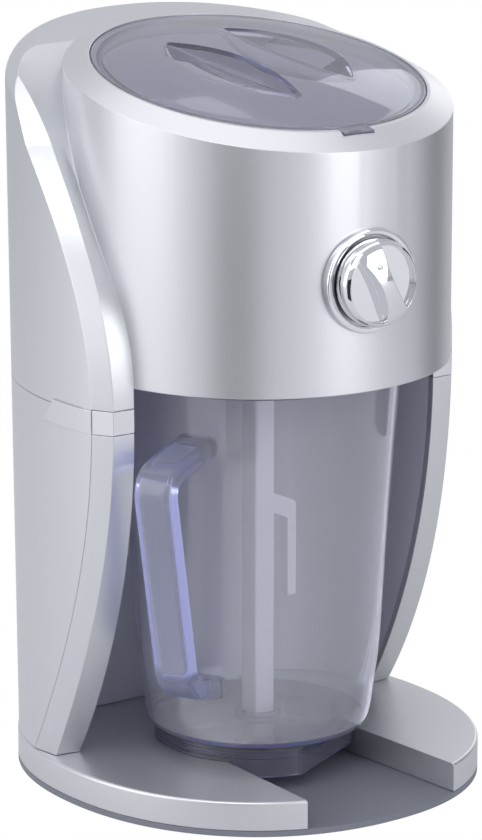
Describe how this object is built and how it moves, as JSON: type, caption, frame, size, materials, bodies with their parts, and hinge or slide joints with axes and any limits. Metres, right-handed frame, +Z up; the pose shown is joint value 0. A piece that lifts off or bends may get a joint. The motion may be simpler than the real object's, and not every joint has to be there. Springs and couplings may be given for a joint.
{
  "type": "electric ice shaver",
  "caption": "Countertop electric ice shaver: a sloping head with a lidded ice hopper and a knob stands on a curved rear column over a clear jug with a turning paddle.",
  "frame": {"origin": "centre of the footprint on the surface that the feet stand on", "axes": "+Z up, -Y out of the front, where the knob is and the jug slides out; +X to the right seen from the front"},
  "size_m": [0.2362, 0.2505, 0.3864],
  "materials": {
    "silver": "satin silver paint on plastic",
    "slate": "satin",
    "rubber": "matte",
    "chrome": "polished",
    "steel": "brushed",
    "brass": "turned",
    "black": "matte",
    "white": "satin",
    "clear_lilac": "clear tinted plastic, glossy"
  },
  "bodies": {
    "machine": {"foot_1": "rubber", "foot_2": "rubber", "foot_3": "rubber", "foot_4": "rubber", "base_plate": "slate", "base_platform": "silver", "base_screw_1": "steel", "base_screw_2": "steel", "base_screw_3": "steel", "base_screw_4": "steel", "rear_shell_lower": "silver", "column_liner": "slate", "cord_gland": "black", "rib_lower_left": "silver", "waist_trim_left": "chrome", "rib_lower_right": "silver", "waist_trim_right": "chrome", "head_shell": "silver", "head_floor": "slate", "ice_chute": "white", "gear_cover": "black", "bush_lower": "brass", "bush_upper": "brass", "motor_body": "steel", "hopper": "white", "blade": "steel", "blade_screw_1": "steel", "blade_screw_2": "steel", "knob_bezel": "chrome", "rotary_switch": "black", "interlock_switch": "black"},
    "drive": {"spindle": "steel", "spindle_gear": "white", "drive_dog": "black", "ice_pusher": "white"},
    "idler": {"idler_gear": "white"},
    "reduction": {"reduction_gear": "white"},
    "motor_rotor": {"motor_pinion": "steel", "motor_shaft": "steel"},
    "knob_body": {"knob": "chrome"},
    "lid_body": {"lid": "clear_lilac"},
    "plunger_body": {"interlock_plunger": "white"},
    "jug": {"jug_body": "clear_lilac", "jug_handle": "clear_lilac", "jug_foot": "clear_lilac"},
    "paddle_body": {"paddle": "white"}
  },
  "joints": [
    {"name": "drive_spin", "type": "hinge", "parent": "machine", "child": "drive", "pos_m": [0, -0.0095, 0.24], "axis": [0, 0, 1], "continuous": true},
    {"name": "idler_spin", "type": "hinge", "parent": "machine", "child": "idler", "pos_m": [0, 0.03687, 0.233], "axis": [0, 0, 1], "continuous": true},
    {"name": "reduction_spin", "type": "hinge", "parent": "machine", "child": "reduction", "pos_m": [0, 0.06575, 0.236], "axis": [0, 0, 1], "continuous": true},
    {"name": "motor_spin", "type": "hinge", "parent": "machine", "child": "motor_rotor", "pos_m": [0, 0.10075, 0.23], "axis": [0, 0, 1], "continuous": true},
    {"name": "paddle_spin", "type": "hinge", "parent": "jug", "child": "paddle_body", "pos_m": [0, -0.0095, 0.12], "axis": [0, 0, 1], "continuous": true},
    {"name": "knob_turn", "type": "hinge", "parent": "machine", "child": "knob_body", "pos_m": [-0.00544, -0.11336, 0.2794], "axis": [0.0523, 0.9986, 0], "range_deg": [0, 52]},
    {"name": "lid_lift", "type": "slide", "parent": "machine", "child": "lid_body", "axis": [0, -0.1908, 0.9816], "range_m": [0, 0.15]},
    {"name": "plunger_press", "type": "slide", "parent": "machine", "child": "plunger_body", "axis": [0, 0.1908, -0.9816], "range_m": [0, 0.002], "stiffness_N_per_m": 300, "springref_m": -0.001},
    {"name": "jug_slide", "type": "slide", "parent": "machine", "child": "jug", "axis": [0, -1, 0], "range_m": [0, 0.25]}
  ],
  "couplings": [
    {"joint": "idler_spin", "follows": "drive_spin", "ratio": -1.3043},
    {"joint": "reduction_spin", "follows": "drive_spin", "ratio": 3},
    {"joint": "motor_spin", "follows": "drive_spin", "ratio": -9},
    {"joint": "paddle_spin", "follows": "drive_spin", "ratio": 1}
  ]
}
